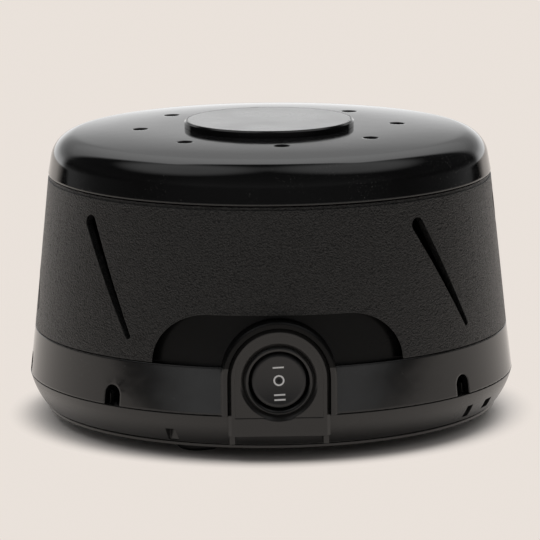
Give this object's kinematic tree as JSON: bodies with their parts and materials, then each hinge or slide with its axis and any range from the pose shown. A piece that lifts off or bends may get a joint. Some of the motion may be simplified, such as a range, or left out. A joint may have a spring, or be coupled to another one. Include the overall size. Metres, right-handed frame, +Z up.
{
  "type": "white noise sound machine",
  "caption": "Round tabletop fan sound machine: glossy turning cap with holes, grained turning collar with slanted slots, gloss base with a round rocker switch.",
  "frame": {"origin": "on the floor under the machine's vertical axis", "axes": "+Z up, -Y towards the switch at the front, +X to the right seen from the front"},
  "size_m": [0.146, 0.1481, 0.089],
  "materials": {
    "shell_black": "moulded satin gloss",
    "housing_black": "moulded gloss",
    "collar_grain": "leather-grained matte",
    "cap_black": "polished gloss",
    "medallion_rim": "gloss",
    "medallion_silver": "satin silver, bare",
    "steel": "plain",
    "switch_black": "satin moulded",
    "rocker_black": "fine matte",
    "brass": "stamped",
    "rubber": "soft black",
    "laminations": "stacked sheet",
    "copper": "bare copper",
    "white_plastic": "natural nylon",
    "winding": "varnished copper wire",
    "zinc": "zinc plated",
    "bronze": "sintered bronze",
    "fan_plastic": "moulded"
  },
  "bodies": {
    "base": {"base_pan": "shell_black", "housing": "housing_black", "switch_body": "switch_black", "switch_terminals": "brass", "cord_gland": "rubber", "rubber_feet": "rubber", "base_screws": "steel", "stator_core": "laminations", "shading_rings": "copper", "coil_bobbin": "white_plastic", "field_coil": "winding", "upper_bracket": "zinc", "lower_bracket": "zinc", "upper_bush": "bronze", "lower_bush": "bronze", "motor_grommets": "rubber", "motor_screws": "steel", "cap_washer": "steel", "cap_screw": "steel"},
    "cap": {"cap": "cap_black", "medallion_base": "medallion_rim", "medallion_face": "medallion_silver"},
    "collar": {"collar": "collar_grain"},
    "rocker": {"switch_rocker": "rocker_black"},
    "rotor": {"rotor_core": "laminations", "rotor_shaft": "steel", "fan_wheel": "fan_plastic"}
  },
  "joints": [
    {"name": "cap_turn", "type": "hinge", "parent": "base", "child": "cap", "pos_m": [0, 0, 0.0846], "axis": [0, 0, 1], "range_deg": [-3.66, 18.84]},
    {"name": "collar_turn", "type": "hinge", "parent": "base", "child": "collar", "pos_m": [0, 0, 0.0277], "axis": [0, 0, 1], "range_deg": [-16, 16]},
    {"name": "rocker_tilt", "type": "hinge", "parent": "base", "child": "rocker", "pos_m": [0, -0.0688, 0.02385], "axis": [1, 0, 0], "range_deg": [-10, 10]},
    {"name": "fan_spin", "type": "hinge", "parent": "base", "child": "rotor", "pos_m": [0, 0, 0.03], "axis": [0, 0, 1], "continuous": true}
  ]
}
